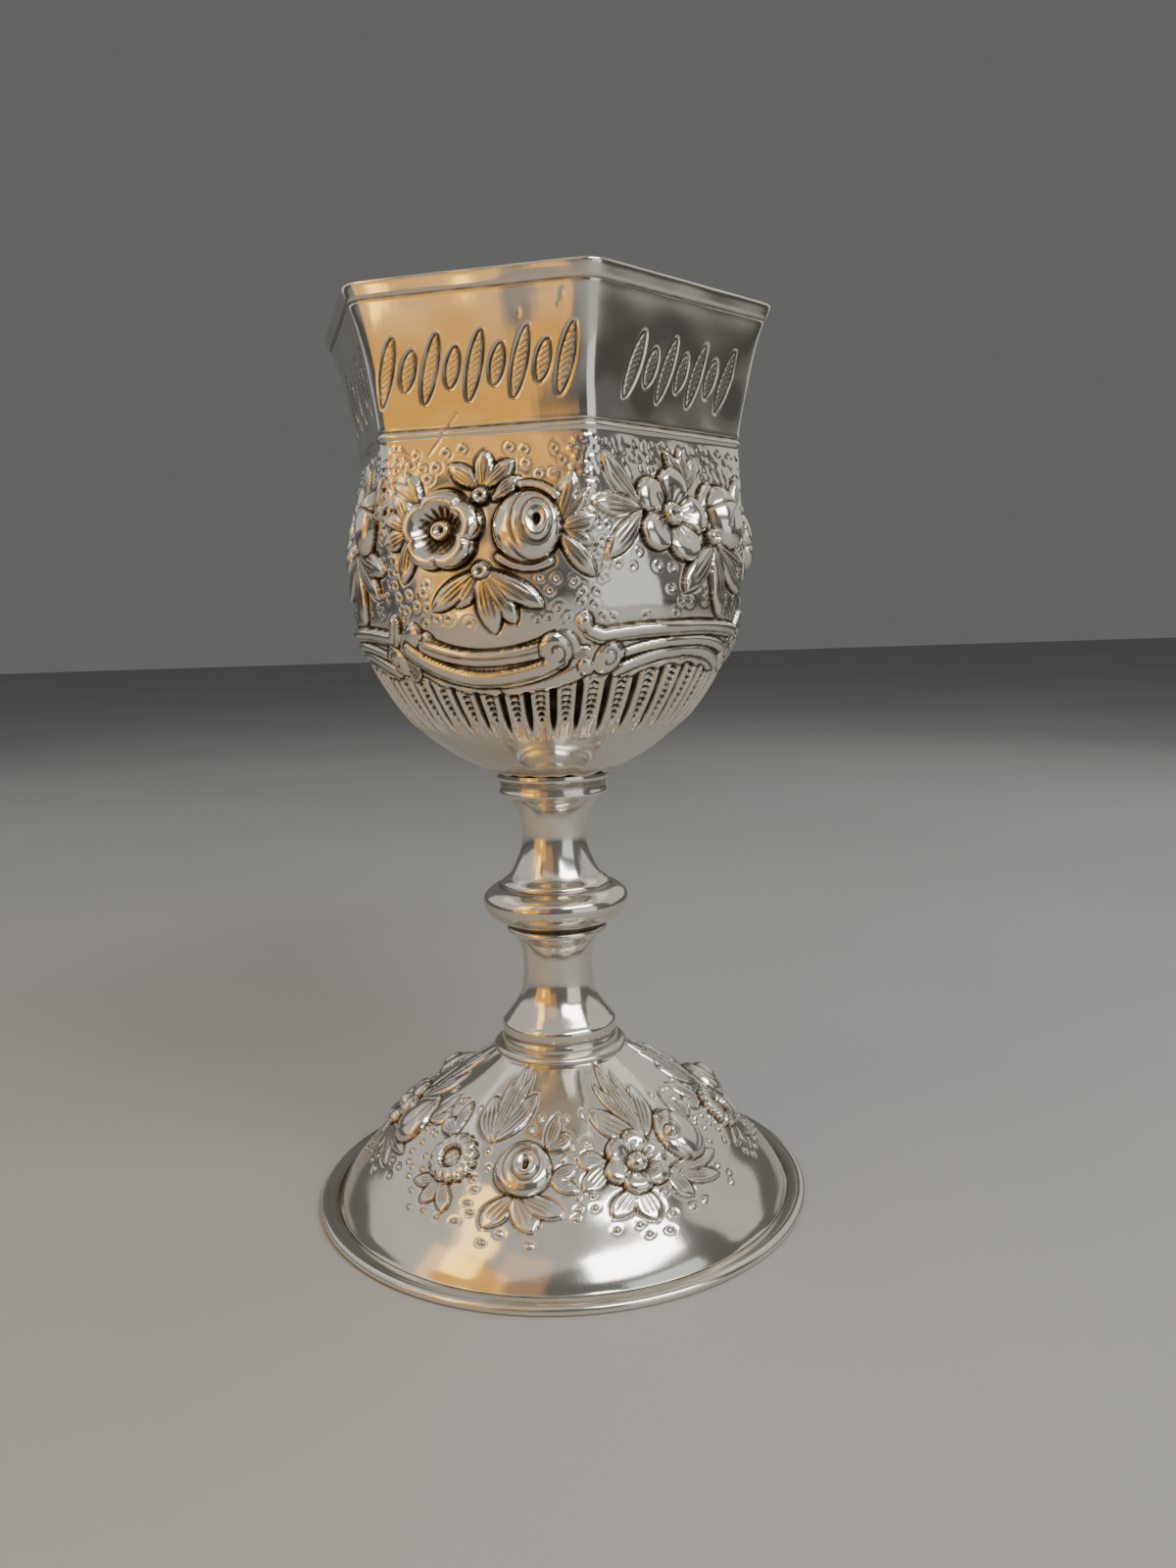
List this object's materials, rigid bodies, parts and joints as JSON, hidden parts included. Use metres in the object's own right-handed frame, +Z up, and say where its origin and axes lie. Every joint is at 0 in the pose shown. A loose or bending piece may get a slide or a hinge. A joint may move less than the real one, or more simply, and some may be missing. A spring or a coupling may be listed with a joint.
{
  "type": "kiddush cup",
  "caption": "Silver kiddush goblet with a hexagonal flared bowl, chased flowers, scrolls and flutes, a turned knopped stem and a domed round foot.",
  "frame": {"origin": "centre of the foot's underside", "axes": "+Z up along the stem, -Y towards one corner of the bowl"},
  "size_m": [0.0782, 0.0782, 0.135],
  "materials": {
    "silver": "polished silver, darkened in the recesses"
  },
  "bodies": {
    "root": {"bowl": "silver", "stem": "silver", "foot": "silver"}
  },
  "joints": []
}
